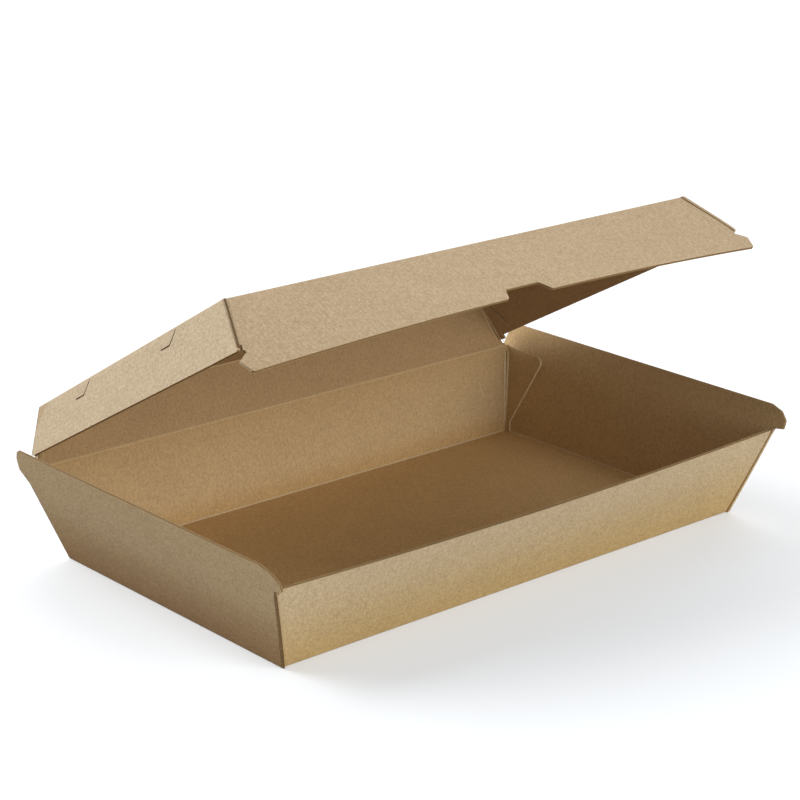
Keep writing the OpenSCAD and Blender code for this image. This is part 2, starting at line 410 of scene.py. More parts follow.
        # Pale fibres, 0.3 mm wide and drawn a little coarse so that they show
        stretched = add_node(
            tree,
            "ShaderNodeMapping",
            {"Vector": blank, "Scale": (0.28, 1.7, 1.0), "Rotation": (0, 0, 0.12)},
        )
        fibre = add_node(
            tree,
            "ShaderNodeTexNoise",
            {"Vector": stretched.outputs[0], "Scale": 1.0, "Detail": 1.0, "Distortion": 0.8},
        )
        fibre_mask = add_node(
            tree,
            "ShaderNodeMapRange",
            {
                "Value": fibre.outputs["Fac"],
                "From Min": 0.66,
                "From Max": 0.78,
                "To Max": 0.35,
            },
        )
        fibres = add_node(
            tree,
            "ShaderNodeMix",
            {"Factor": fibre_mask.outputs[0], 6: colour, 7: linear(self.pale_grain)},
            data_type="RGBA",
        )
        # Bark specks, about half a millimetre, one in every 5 mm or so
        cells = add_node(
            tree,
            "ShaderNodeTexVoronoi",
            {"Vector": blank, "Scale": 1 / self.speck_apart_mm, "Randomness": 1.0},
        )
        speck_mask = add_node(
            tree,
            "ShaderNodeMapRange",
            {
                "Value": cells.outputs["Distance"],
                "From Min": 0.03,
                "From Max": 0.09,
                "To Min": 0.5,
                "To Max": 0.0,
            },
        )
        return add_node(
            tree,
            "ShaderNodeMix",
            {"Factor": speck_mask.outputs[0], 6: fibres.outputs[2], 7: linear(self.speck)},
            data_type="RGBA",
        ).outputs[2]

    def paint_light_by_folds(
        self,
        tree: bpy.types.NodeTree,
        blank: bpy.types.Node,
        colour: bpy.types.NodeSocket,
    ) -> bpy.types.NodeSocket:
        """Paint light and shade into the liner, by a tint towards the bottom folds.

        Args:
            tree: The material's nodes.
            blank: The node that gives the place in the blank.
            colour: The liner's colour so far.

        Returns:
            The colour with its painted light and shade.
        """
        past = []
        for axis, middle, start in zip("XY", self.gilt_middle, self.gilt_from):
            arm = add_node(
                tree, "ShaderNodeMath", {0: blank.outputs[axis], 1: middle}, operation="SUBTRACT"
            )
            size = add_node(tree, "ShaderNodeMath", {0: arm.outputs[0]}, operation="ABSOLUTE")
            over = add_node(
                tree, "ShaderNodeMath", {0: size.outputs[0], 1: start}, operation="SUBTRACT"
            )
            past.append(over.outputs[0])
        up = add_node(tree, "ShaderNodeMath", {0: past[0], 1: past[1]}, operation="MAXIMUM")
        low = add_node(
            tree,
            "ShaderNodeMapRange",
            {"Value": up.outputs[0], "From Max": self.gilt_over, "To Min": 1.0, "To Max": 0.0},
            interpolation_type="SMOOTHSTEP",
        )
        # Walls folded up at the ends, past the bottom's length more than its width
        nearest = add_node(tree, "ShaderNodeMath", {0: past[1], 1: 0.0}, operation="MAXIMUM")
        at_end = add_node(
            tree, "ShaderNodeMath", {0: past[0], 1: nearest.outputs[0]}, operation="GREATER_THAN"
        )
        side = add_node(
            tree,
            "ShaderNodeMix",
            {"Factor": at_end.outputs[0], 6: (*self.painted_light_tint, 1), 7: (*self.painted_light_ends, 1)},
            data_type="RGBA",
        )
        return self.tint(tree, colour, low.outputs[0], side.outputs[2])

    def tint(
        self,
        tree: bpy.types.NodeTree,
        colour: bpy.types.NodeSocket,
        amount: bpy.types.NodeSocket,
        tint: bpy.types.NodeSocket | tuple[float, float, float],
    ) -> bpy.types.NodeSocket:
        """Multiply a colour by a tint, by an amount that varies over the paper.

        Args:
            tree: The material's nodes.
            colour: The colour so far.
            amount: How much of the tint there is, 0 to 1.
            tint: The tint, linear.

        Returns:
            The tinted colour.
        """
        full = tint if isinstance(tint, bpy.types.NodeSocket) else (*tint, 1)
        partly = add_node(
            tree,
            "ShaderNodeMix",
            {"Factor": amount, 6: (1, 1, 1, 1), 7: full},
            data_type="RGBA",
        )
        return add_node(
            tree,
            "ShaderNodeVectorMath",
            {0: colour, 1: partly.outputs[2]},
            operation="MULTIPLY",
        ).outputs[0]


@dataclass(frozen=True)
class CutFluteBoard:
    """Die-cut edge of microflute board: two liners with the fluted medium between.

    To the eye it is two pale lines with a brown wave between them where the cut crosses
    the flutes, with painted shade for the dark hollows there, and plain lines where it
    runs along them.
    """

    name: str = "microflute_cut_edge"
    paper: str = "#a58c66"
    medium: str = "#957b56"
    # Painted shade: the flutes' open hollows, drawn dark on the flat cut face
    hollow_shade: str = "#735c3c"
    flute_mm: float = 2.3
    liner_part: float = 0.2
    medium_part: float = 0.12
    wave_part: float = 0.27

    def make(self) -> bpy.types.Material:
        """Build the node tree.

        Returns:
            The material. Its coordinates are the place across the flutes in
            millimetres and the depth as a part of the board's thickness.
        """
        material, tree = bare_material(self.name)
        ply = add_node(tree, "ShaderNodeUVMap", uv_map="ply")
        split = add_node(tree, "ShaderNodeSeparateXYZ", {0: ply.outputs[0]})
        phase = add_node(
            tree,
            "ShaderNodeMath",
            {0: split.outputs["X"], 1: 2 * math.pi / self.flute_mm},
            operation="MULTIPLY",
        )
        wave = add_node(tree, "ShaderNodeMath", {0: phase.outputs[0]}, operation="SINE")
        crest = add_node(
            tree,
            "ShaderNodeMath",
            {0: wave.outputs[0], 1: self.wave_part, 2: 0.5},
            operation="MULTIPLY_ADD",
        )
        off = []
        for middle in (crest.outputs[0], 0.5):
            arm = add_node(
                tree, "ShaderNodeMath", {0: split.outputs["Y"], 1: middle}, operation="SUBTRACT"
            )
            size = add_node(tree, "ShaderNodeMath", {0: arm.outputs[0]}, operation="ABSOLUTE")
            off.append(size.outputs[0])
        medium_mask = add_node(
            tree,
            "ShaderNodeMapRange",
            {
                "Value": off[0],
                "From Min": self.medium_part * 0.6,
                "From Max": self.medium_part * 1.2,
                "To Min": 1.0,
                "To Max": 0.0,
            },
        )
        liner_mask = add_node(
            tree,
            "ShaderNodeMapRange",
            {
                "Value": off[1],
                "From Min": 0.5 - self.liner_part,
                "From Max": 0.56 - self.liner_part,
            },
        )
        core = add_node(
            tree,
            "ShaderNodeMix",
            {
                "Factor": medium_mask.outputs[0],
                6: linear(self.hollow_shade),
                7: linear(self.medium),
            },
            data_type="RGBA",
        )
        edge = add_node(
            tree,
            "ShaderNodeMix",
            {"Factor": liner_mask.outputs[0], 6: core.outputs[2], 7: linear(self.paper)},
            data_type="RGBA",
        )
        height = add_node(
            tree,
            "ShaderNodeMath",
            {0: medium_mask.outputs[0], 1: liner_mask.outputs[0]},
            operation="MAXIMUM",
        )
        bump = add_node(
            tree,
            "ShaderNodeBump",
            {"Height": height.outputs[0], "Strength": 0.6, "Distance": 0.0003},
        )
        shader = add_node(
            tree,
            "ShaderNodeBsdfPrincipled",
            {
                "Base Color": edge.outputs[2],
                "Roughness": 0.92,
                "Specular IOR Level": 0.2,
                "Normal": bump.outputs[0],
            },
        )
        add_node(tree, "ShaderNodeOutputMaterial", {0: shader.outputs[0]})
        return material


@dataclass(frozen=True)
class PaintedStudioFloor:
    """Matt painted sweep under the box: white to the lens but for the box's shadow.

    What it throws back onto the box is a warm tan, as a wooden table top's is, which
    gilds the lower half of the box's walls. lift is how much of the shadow is lifted.
    """

    name: str = "studio_floor"
    seen: str = "#f5faff"
    thrown_back: str = "#988972"
    lift: float = 0.35

    def make(self) -> bpy.types.Material:
        """Build the node tree.

        Returns:
            The material, whose colour is plain white for the lens, with the shadow
            lifted, and tan for the light that it throws back.
        """
        material, tree = bare_material(self.name)
        path = add_node(tree, "ShaderNodeLightPath")
        lens = path.outputs["Is Camera Ray"]
        colour = add_node(
            tree,
            "ShaderNodeMix",
            {"Factor": lens, 6: linear(self.thrown_back), 7: linear(self.seen)},
            data_type="RGBA",
        )
        paint = add_node(tree, "ShaderNodeBsdfDiffuse", {"Color": colour.outputs[2]})
        white = add_node(
            tree, "ShaderNodeEmission", {"Color": (1, 1, 1, 1), "Strength": 1.0}
        )
        share = add_node(tree, "ShaderNodeMath", {0: lens, 1: self.lift}, operation="MULTIPLY")
        shader = add_node(
            tree,
            "ShaderNodeMixShader",
            {0: share.outputs[0], 1: paint.outputs[0], 2: white.outputs[0]},
        )
        add_node(tree, "ShaderNodeOutputMaterial", {0: shader.outputs[0]})
        return material


@dataclass
class BoardFinishes:
    """The finishes of one folded piece, in the order of Face, and of its painted corner shade."""

    outside: KraftLiner
    inside: KraftLiner
    cut: CutFluteBoard = CutFluteBoard()
    # Scored liner, worn and paler: on the ridges and the glue tabs' cut edges partly a painted
    # highlight
    worn_and_painted_light: KraftLiner = KraftLiner(
        "kraft_liner_scored_and_painted_light", colour="#d2bb90", dark_grain="#b89e74", pale_grain="#e2cda6"
    )
    # Painted shade: a dark liner for the shade in the corners' gaps and grooves
    seam_shade: KraftLiner = KraftLiner(
        "kraft_liner_painted_seam_shade", colour="#5f4a2e", dark_grain="#4f3c24", pale_grain="#755d3c"
    )
    materials: list[bpy.types.Material] = field(default_factory=list)

    def __post_init__(self) -> None:
        """Make the materials that aren't made yet."""
        for finish in (self.outside, self.inside, self.cut, self.worn_and_painted_light, self.seam_shade):
            made = bpy.data.materials.get(finish.name)
            self.materials.append(made or finish.make())

    def dress(self, piece: bpy.types.Object) -> None:
        """Give a folded piece its liners, its cut edges, its scored liner and its painted shade.
        """
        for material in self.materials:
            piece.data.materials.append(material)

    def dress_scored(self, piece: bpy.types.Object) -> None:
        """Give a crease its scored liner, worn and paler, partly a painted highlight."""
        piece.data.materials.append(self.materials[Face.WORN])

    def dress_seam_shade(self, piece: bpy.types.Object) -> None:
        """Give a corner's strips their dark liner of painted shade."""
        piece.data.materials.append(self.materials[Face.SEAM])


# ---- The folded board


@dataclass(frozen=True)
class Panel:
    """One flat panel of the folded blank.

    point lies on its outer face, normal points out of it, across and along are the
    directions across and along its flutes, and start is where point lies in the
    unfolded blank.
    """

    name: str
    point: Vector
    normal: Vector
    across: Vector
    along: Vector
    start: tuple[float, float]

    def depth(self, co: Vector) -> float:
        """Distance of a point below the panel's outer face."""
        return (self.point - co).dot(self.normal)

    def blank(self, co: Vector) -> tuple[float, float]:
        """Place of a point in the unfolded blank, across and along the flutes."""
        arm = co - self.point
        return (
            self.start[0] + arm.dot(self.across),
            self.start[1] + arm.dot(self.along),
        )


@dataclass
class FoldedPiece:
    """A flat panel with four walls folded up from it, in millimetres.

    Its own frame has the panel's outer face at z 0 and the walls rising, with the
    front wall at low y. place brings it into the row frame. corner_tops are the
    heights where the front and back corners' folds end, ear_foot the step up from
    there to the ears, and slack how far a face may lie off its panel.
    """

    node: str
    body: str
    board: float
    half_l: float
    end_lean: float
    front: float
    front_lean: float
    back: float
    back_lean: float
    tab_in: float
    finishes: BoardFinishes
    cell: float = 5.0
    corner_tops: tuple[float, float] = (38.5, 38.5)
    ear_foot: float = 2.5
    slack: float = 0.12
    # The glue tabs' cut edges take the pale scored liner by default, a painted highlight where
    # they catch the light
    tab_edge: Face = Face.WORN
    half_open: float = 144.7
    place: Matrix = field(default_factory=lambda: Matrix.Identity(4))

    def __post_init__(self) -> None:
        """Set out the panels."""
        self.panels = self.lay_out()

    def long_walls(self) -> tuple[tuple[int, float, float, float], ...]:
        """Give the two long walls.

        Returns:
            For front and back: the side, the fold's distance, the lean and the height
            where the corners' folds end.
        """
        return (
            (-1, self.front, self.front_lean, self.corner_tops[0]),
            (1, self.back, self.back_lean, self.corner_tops[1]),
        )

    def tab_face(self) -> float:
        """Distance of the glue tabs' inner faces from the middle, at z 0."""
        return self.half_l - self.tab_in / math.cos(self.end_lean)

    def open_along(self, x: float) -> float:
        """Part of the full bow that a wall has at a place along it."""
        return max(0.0, 1 - (x / self.half_open) ** 2)

    def lay_out(self) -> list[Panel]:
        """Set out the panels of the folded blank.

        Returns:
            The panel, the four walls and the glue tabs behind the end walls.
        """
        x_axis, y_axis = Vector((1, 0, 0)), Vector((0, 1, 0))
        out = [Panel("bottom", Vector((0, 0, 0)), Vector((0, 0, -1)), x_axis, y_axis, (0, 0))]
        for side, at, lean, _ in self.long_walls():
            up = Vector((0, side * math.sin(lean), math.cos(lean)))
            normal = Vector((0, side * math.cos(lean), -math.sin(lean)))
            point = Vector((0, side * at, 0))
            out.append(Panel("long wall", point, normal, x_axis, up * side, (0, side * at)))
        lean = self.end_lean
        tab_row = (300, 40)
        for side in (-1, 1):
            up = Vector((side * math.sin(lean), 0, math.cos(lean)))
            normal = Vector((side * math.cos(lean), 0, -math.sin(lean)))
            start = side * self.half_l
            point = Vector((start, 0, 0))
            out.append(Panel("end wall", point, normal, up * side, y_axis, (start, 0)))
            inner = point - normal * (self.tab_in - self.board)
            tab_start = (side * tab_row[0], tab_row[1])
            out.append(Panel("glue tab", inner, normal, y_axis, up, tab_start))
        return out

    def panel_of(self, centre: Vector, normal: Vector) -> tuple[Panel, Face]:
        """Find the panel that a face belongs to, and the finish it takes.

        Args:
            centre: The face's centre.
            normal: The face's normal.

        Returns:
            The panel, and outside or inside liner or the cut edge of its board.
        """
        near = [
            (abs(normal.dot(p.normal)), -abs(p.depth(centre) - self.board / 2), i)
            for i, p in enumerate(self.panels)
            if -self.slack <= p.depth(centre) <= self.board + self.slack
        ]
        facing, across = 0.45, 0.6
        flat = [n for n in near if n[0] > facing]
        if flat:
            panel = self.panels[max(flat)[2]]
            outward = normal.dot(panel.normal) > 0
            return panel, Face.OUTSIDE if outward else Face.INSIDE
        if near:
            panel = self.panels[max(near, key=lambda n: n[1])[2]]
            if panel.name == "end wall" and abs(normal.y) > across:
                # The raw edge: open at the ears, at the left corners painted dark as the shade
                # in their gap, and papered over at the right corners
                number = 0 if normal.y < 0 else 1
                if centre.z > self.corner_tops[number] + self.ear_foot:
                    return panel, Face.CUT
                if centre.x < 0:
                    return panel, Face.SEAM
                return self.panels[1 + number], Face.OUTSIDE
            # A glue tab's cut edge takes the piece's tab finish, on the tray the pale scored liner
            # as a painted highlight
            return panel, self.tab_edge if panel.name == "glue tab" else Face.CUT
        panel = max(self.panels, key=lambda p: abs(normal.dot(p.normal)))
        return panel, Face.OUTSIDE if normal.dot(panel.normal) > 0 else Face.INSIDE

    def read_cad(self) -> bmesh.types.BMesh:
        """Copy the CAD node's mesh into the piece's own frame with its flats merged.

        Returns:
            The mesh in millimetres, one face per flat.
        """
        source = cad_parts[self.node].data
        bm = bmesh.new()
        into = self.place.inverted()
        verts = [bm.verts.new(into @ (v.co / MM)) for v in source.vertices]
        bm.verts.index_update()
        for polygon in source.polygons:
            try:
                bm.faces.new([verts[i] for i in polygon.vertices])
            except ValueError:
                continue
        bmesh.ops.remove_doubles(bm, verts=bm.verts, dist=0.002)
        bmesh.ops.recalc_face_normals(bm, faces=bm.faces)
        bmesh.ops.dissolve_limit(
            bm, angle_limit=math.radians(0.3), verts=bm.verts, edges=bm.edges
        )
        return bm

    def grid(self, bm: bmesh.types.BMesh) -> None:
        """Cut the flats into cells so that they can bow.

        Args:
            bm: Mesh to cut.
        """
        for axis in range(3):
            values = [v.co[axis] for v in bm.verts]
            low, high = min(values), max(values)
            normal = Vector((0, 0, 0))
            normal[axis] = 1
            count = max(1, round((high - low) / self.cell))
            for i in range(1, count):
                co = normal * (low + (high - low) * i / count)
                bmesh.ops.bisect_plane(
                    bm,
                    geom=bm.verts[:] + bm.edges[:] + bm.faces[:],
                    dist=1e-4,
                    plane_co=co,
                    plane_no=normal,
                )

    def unwrap(self, bm: bmesh.types.BMesh) -> None:
        """Sort the faces by finish and lay them out in the unfolded blank.

        Args:
            bm: Mesh whose faces get a finish and two sets of coordinates.
        """
        blank = bm.loops.layers.uv.new("blank")
        ply = bm.loops.layers.uv.new("ply")
        bm.normal_update()
        for face in bm.faces:
            panel, kind = self.panel_of(face.calc_center_median(), face.normal)
            face.material_index = int(kind)
            for loop in face.loops:
                s, r = panel.blank(loop.vert.co)
                if kind == Face.INSIDE:
                    r += INSIDE_ROW
                loop[blank].uv = (s, r)
                loop[ply].uv = (s, panel.depth(loop.vert.co) / self.board)

    def spring(self, co: Vector) -> Vector:
        """How far the board springs out of flat at a point.

        Args:
            co: Place in the piece's own frame.

        Returns:
            The displacement in millimetres.
        """
        return Vector((0, 0, 0))

    def formed(self, co: Vector) -> Vector:
        """Bring a point of the flat-walled piece to where the sprung board has it.

        Args:
            co: Place in the piece's own frame.

        Returns:
            Its place in the row frame, in millimetres.
        """
        return self.place @ (co + self.spring(co))

    def build(self) -> bpy.types.Object:
        """Build the piece, let it stand for its CAD node and dress it.

        Returns:
            The finished object.
        """
        bm = self.read_cad()
        self.grid(bm)
        self.unwrap(bm)
        for vert in bm.verts:
            vert.co = self.formed(vert.co) * MM
        bm.normal_update()
        bmesh.ops.recalc_face_normals(bm, faces=bm.faces)
        for face in bm.faces:
            face.smooth = True
        mesh = bpy.data.meshes.new(f"{self.node}_board")
        bm.to_mesh(mesh)
        bm.free()
        mesh.set_sharp_from_angle(angle=math.radians(30))
        piece = new_object(f"{self.node}_board", mesh)
        self.finishes.dress(piece)
        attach(piece, self.body)
        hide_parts(self.node)
        return piece


@dataclass
class CreaseBeads:
    """The rounded ridges that the scoring rule raises along the inside of the folds.

    wrinkles are small ones in the back wall, as x and height of both ends. foot is
    where the corners' ridges start, end_gap what the end folds' ridges stop short of
    the corners, and twin how far each corner's second ridge lies from the first, at
    its foot and its top.
    """

    part: FoldedPiece
    wrinkles: tuple[tuple[float, float, float, float], ...] = ()
    radius: float = 0.5
    sides: int = 10
    step: float = 6.0
    foot: float = 3.2
    end_gap: float = 1.6
    twin: tuple[float, float] = (0.9, 2.6)

    def inset(self, lean: float) -> float:
        """How far a fold's inner line lies in from its outer line."""
        return self.part.board * math.tan((math.pi / 2 - lean) / 2)

    def lines(self) -> list[tuple[Vector, Vector, Vector]]:
        """Find the inside folds.

        Returns:
            Start, end and the direction into the box of each ridge.
        """
        part = self.part
        t = part.board
        x_end = part.tab_face() - 0.2
        out = []
        for side, at, lean, _ in part.long_walls():
            y = side * (at - self.inset(lean))
            inward = Vector((0, -side * math.cos(lean), 1 + math.sin(lean))).normalized()
            out.append((Vector((-x_end, y, t)), Vector((x_end, y, t)), inward))
        for side, at, lean, top in part.long_walls():
            wall = Vector((0, -side * math.cos(lean), math.sin(lean)))
            for end in (-1, 1):
                tab = Vector((-end * math.cos(part.end_lean), 0, math.sin(part.end_lean)))
                run = wall.cross(tab)
                run *= 1 / run.z
                corner = Vector((end * part.tab_face(), side * (at - t / math.cos(lean)), 0))
                low, high = corner + run * self.foot, corner + run * top
                out.append((low, high, (wall + tab).normalized()))
                along = Vector((-end, 0, 0))
                out.append((low + along * self.twin[0], high + along * self.twin[1], wall))
        lean = part.end_lean
        front, back = -part.front + self.end_gap, part.back - self.end_gap
        for side in (-1, 1):
            x = side * (part.half_l - self.inset(lean))
            inward = Vector((-side * math.cos(lean), 0, 1 + math.sin(lean))).normalized()
            out.append((Vector((x, front, t)), Vector((x, back, t)), inward))
        lean = part.back_lean
        inward = Vector((0, -math.cos(lean), math.sin(lean)))
        face = part.back - t / math.cos(lean)
        for x_low, low, x_high, high in self.wrinkles:
            ends = [
                Vector((x, face + z * math.tan(lean), z))
                for x, z in ((x_low, low), (x_high, high))
            ]
            out.append((*ends, inward * 0.5))
        return out

    def ring(self, at: Vector, inward: Vector, over: Vector, reach: float) -> list[Vector]:
        """Lay one ring of a ridge round a point of its fold.

        Args:
            at: The point, in the piece's own frame.
            inward: Direction into the box.
            over: Direction across the ridge.
            reach: The ridge's radius there.

        Returns:
            The ring's points in the row frame: an oval wider than it is high.
        """
        raised, high, wide = 0.05, 0.9, 1.25
        return [
            self.part.formed(
                at
                + inward * (reach * high * math.sin(a) + raised)
                + over * (reach * wide * math.cos(a))
            )
            for a in (2 * math.pi * j / self.sides for j in range(self.sides))
        ]

    def build(self) -> bpy.types.Object:
        """Build the ridges as one piece that rides with its board.

        Returns:
            The finished object.
        """
        part = self.part
        meshes = []
        for number, (start, end, inward) in enumerate(self.lines()):
            over = (end - start).normalized().cross(inward)
            count = max(2, round((end - start).length / self.step))
            rings = []
            for i in range(count + 1):
                at = start.lerp(end, i / count)
                wear = 1 + 0.12 * noise.noise(at * 0.11)
                reach = self.radius * wear * (0.35 if i in (0, count) else 1)
                rings.append(self.ring(at, inward, over, reach))
            meshes.append(swept_mesh("ridge", rings, (0, 900 + 20 * number)))
        piece = new_object(f"{part.node}_creases", join_meshes(f"{part.node}_creases", meshes))
        part.finishes.dress_scored(piece)
        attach(piece, part.body)
        return piece


@dataclass
class CornerSeamShades:
    """Dark strips of painted shade along the corners, outside and in.

    Outside they run where the end walls' raw edges meet the long walls' folds, and
    inside between the two ridges that each corner's fold raises.
    """

    part: FoldedPiece
    width: float = 0.4
    proud: float = 0.4
    foot: float = 3.2
    steps: int = 8

    def outer(self, side: int, end: int, at: float, lean: float, top: float) -> list[list[Vector]]:
        """Lay the rings of an outer line along an end wall's raw edge.

        Args:
            side: -1 at the front and 1 at the back.
            end: -1 at the left and 1 at the right.
            at: The long wall's distance.
            lean: The long wall's lean.
            top: Height where the corner's fold ends.

        Returns:
            The rings, in the row frame.
        """
        part = self.part
        slope = math.tan(part.end_lean)
        out = Vector((end * math.cos(part.end_lean), 0, -math.sin(part.end_lean)))
        section = ((0.1, -0.05), (0.1, 0.03), (self.width, 0.03), (self.width, -0.05))
        low, past = 0.3, 0.9
        rings = []
        for z in (low + (top + past) * i / self.steps for i in range(self.steps + 1)):
            edge = side * (at + z * math.tan(lean) + self.proud)
            corner = Vector((end * (part.half_l + z * slope), edge, z))
            rings.append(
                [part.formed(corner - Vector((0, side * w, 0)) + out * d) for w, d in section]
            )
        return rings

    def inner(self, side: int, end: int, at: float, lean: float, top: float) -> list[list[Vector]]:
        """Lay the rings of an inner line between a corner's two ridges.

        Args:
            side: -1 at the front and 1 at the back.
            end: -1 at the left and 1 at the right.
            at: The long wall's distance.
            lean: The long wall's lean.
            top: Height where the corner's fold ends.

        Returns:
            The rings, in the row frame.
        """
        part = self.part
        wall = Vector((0, -side * math.cos(lean), math.sin(lean)))
        section = ((-0.3, -0.05), (-0.2, 0.06), (0.2, 0.06), (0.3, -0.05))
        rings = []
        for i in range(self.steps + 1):
            z = self.foot + (top - self.foot) * i / self.steps
            inner = part.tab_face() + z * math.tan(part.end_lean)
            behind = at - part.board / math.cos(lean) + z * math.tan(lean)
            # Half way to the second ridge, which leans away as it rises
            foot = Vector((end * (inner - 0.5 - 0.025 * z), side * behind, z))
            rings.append(
                [part.formed(foot + Vector((end * x, 0, 0)) + wall * d) for x, d in section]
            )
        return rings

    def build(self) -> bpy.types.Object:
        """Build the eight lines as one piece that rides with its board.

        Returns:
            The finished object.
        """
        part = self.part
        meshes = []
        for side, at, lean, top in part.long_walls():
            for end in (-1, 1):
                corner = (side, end, at, lean, top)
                # Dark strips of painted shade in each corner's gap outside and its groove inside
                meshes.append(swept_mesh("seam_shade", self.outer(*corner), (0, 1500)))
                meshes.append(swept_mesh("groove_shade", self.inner(*corner), (0, 1600)))
        piece = new_object(f"{part.node}_seams", join_meshes(f"{part.node}_seams", meshes))
        part.finishes.dress_seam_shade(piece)
        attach(piece, part.body)
        return piece


@dataclass
class HingeCrease:
    """The scored crease between the tray's back wall and the lid's rear wall.

    A short strip of crushed board, bent between the two at the lid's present opening.
    axis is a point on the hinge axis, and the leans are how far the tray's back wall and
    the lid's rear wall at rest lean outward from upright. ridge and ridge_width are the
    height and the part of the strip's reach of its middle ridge, whose crest takes the
    scored liner, worn and paler as a painted highlight.
    """

    tray: FoldedPiece
    lid: FoldedPiece
    axis: Vector
    lean_down: float
    lean_up: float
    reach: float = 1.5
    half_x: float = 141.0
    step: float = 5.0
    ridge: float = 0.30
    ridge_width: float = 0.28
    worn_and_lit_within: float = 0.45
    waver: float = 0.04
    bend_from: float = 0.3

    def at(self, part: float, depth: float) -> Vector:
        """Find a place on the strip.

        Args:
            part: Place along the bend: -1 at the tray's end, 1 at the lid's end.
            depth: Distance in from the outer face.

        Returns:
            The place in the row frame, at x 0.
        """
        lean = self.lean_down if part < 0 else self.lean_up
        run = Vector((0, math.sin(lean), math.cos(lean)))
        inward = Vector((0, -math.cos(lean), math.sin(lean)))
        return self.axis + run * (part * self.reach) + inward * depth

    def proud(self, part: float) -> float:
        """Height of the strip over the boards: a ridge on a slight swelling."""
        ridge = self.ridge * math.exp(-((part / self.ridge_width) ** 2))
        return ridge + 0.05 * (1 - part * part) - 0.03

    def build(self) -> bpy.types.Object:
        """Build the strip, bent between the two walls.

        Returns:
            The finished object.
        """
        board = self.tray.board
        stations = [-1, -0.75, -0.5, -0.3, -0.15, 0, 0.15, 0.3, 0.5, 0.75, 1]
        section = [self.at(p, -0.5 * self.proud(p)) for p in stations]
        section += [self.at(p, board + self.proud(p)) for p in reversed(stations)]
        count = round(2 * self.half_x / self.step)
        rings = []
        for i in range(count + 1):
            x = -self.half_x + 2 * self.half_x * i / count
            wave = self.waver * noise.noise(Vector((x * 0.09, 3.1, 0)))
            rings.append([p + Vector((x, -wave, wave)) for p in section])
        mesh = swept_mesh("hinge_crease", rings, (-self.half_x, 1200))
        piece = new_object("hinge_crease", mesh)
        for part, kind in (
            (self.tray, Face.INSIDE), (self.lid, Face.WORN), (self.lid, Face.INSIDE)
        ):
            piece.data.materials.append(part.finishes.materials[kind])
        crest = self.at(0, board)
        # The crest takes the scored liner, worn and paler as a painted highlight
        for polygon in mesh.polygons:
            arm = polygon.center / MM - crest
            near = math.hypot(arm.y, arm.z) < self.worn_and_lit_within
            polygon.material_index = 1 if near else 2 if arm.z > 0 else 0
        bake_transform(piece)
        return piece


@dataclass
class VentTabs:
    """The tongues of the lid's vent slits, which lie back in their cuts.

    Each slit starts at top below the fold, runs down aslant to drop and turns level
    for its tail. grown is by how much the tongues pass the cuts' edges.
    """

    lid: FoldedPiece
    from_rear: tuple[float, ...] = (46.6, 120.2)
    top: float = 1.2
    slant: float = 4.3
    drop: float = 6.6
    tail: float = 6.8
    width: float = 0.7
    sunk: float = 0.7
    grown: float = 0.03

    def outline(self, at: float) -> list[tuple[float, float]]:
        """Outline of one slit, a hair larger all round.

        Args:
            at: Distance of the slit from the lid's rear crease.

        Returns:
            Points as distance along the wall and down its slope.
        """
        foot, end, w, g = self.drop + self.width, -self.slant - self.tail, self.width, self.grown
        points = [
            (-g, self.top), (-self.slant - g, self.drop - g), (end - g, self.drop - g),
            (end - g, foot + g), (-self.slant + w / 2 + g, foot + g), (w + g, self.top),
        ]
        return [(self.lid.back - at - x, y) for x, y in points]

    def build(self) -> bpy.types.Object:
        """Build the tongues of both side walls.

        Returns:
            The finished object.
        """
        lid = self.lid
        lean = lid.end_lean
        depths = (self.sunk, lid.board - 0.12)
        meshes = []
        for side in (-1, 1):
            up = Vector((side * math.sin(lean), 0, math.cos(lean)))
            inward = Vector((-side * math.cos(lean), 0, math.sin(lean)))
            foot = side * lid.half_l
            for at in self.from_rear:
                rings = [
                    [
                        lid.place @ (Vector((foot, y, 0)) + up * d + inward * depth)
                        for y, d in self.outline(at)
                    ]
                    for depth in depths
                ]
                meshes.append(swept_mesh("tongue", rings, (0, 1300 + at)))
        piece = new_object("lid_vent_tongues", join_meshes("lid_vent_tongues", meshes))
        piece.data.materials.append(lid.finishes.materials[Face.CUT])
        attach(piece, "lid")
        return piece


@dataclass
class Tray(FoldedPiece):
    """The tray, whose front wall springs outward between its corners."""

    front_bow: float = 5.0
    rim_z: float = 41.0

    def spring(self, co: Vector) -> Vector:
        """Bow the front wall, from nothing at the corners and the bottom fold.

        Args:
            co: Place in the tray's own frame.

        Returns:
            The displacement in millimetres.
        """
        move = Vector((0, 0, 0))
        if co.y < -self.front + 2:
            up = max(0.0, co.z - 1.5)
            move.y -= self.front_bow * self.open_along(co.x) * up / self.rim_z
        return move


@dataclass
class Lid(FoldedPiece):
    """The lid, whose flap springs outward with the tray's front wall."""

    flap_bow: float = 6.0
    flap_l: float = 39.0

    def spring(self, co: Vector) -> Vector:
        """Bow the flap, from nothing at the side walls and the top's fold.

        Args:
            co: Place in the lid's own frame.

        Returns:
            The displacement in millimetres.
        """
        move = Vector((0, 0, 0))
        if co.y < -self.front + 2:
            down = max(0.0, co.z - 1.5) / (self.flap_l * math.cos(self.front_lean))
            move += self.panels[1].normal * (self.flap_bow * self.open_along(co.x) * down)
        return move


# ---- The studio


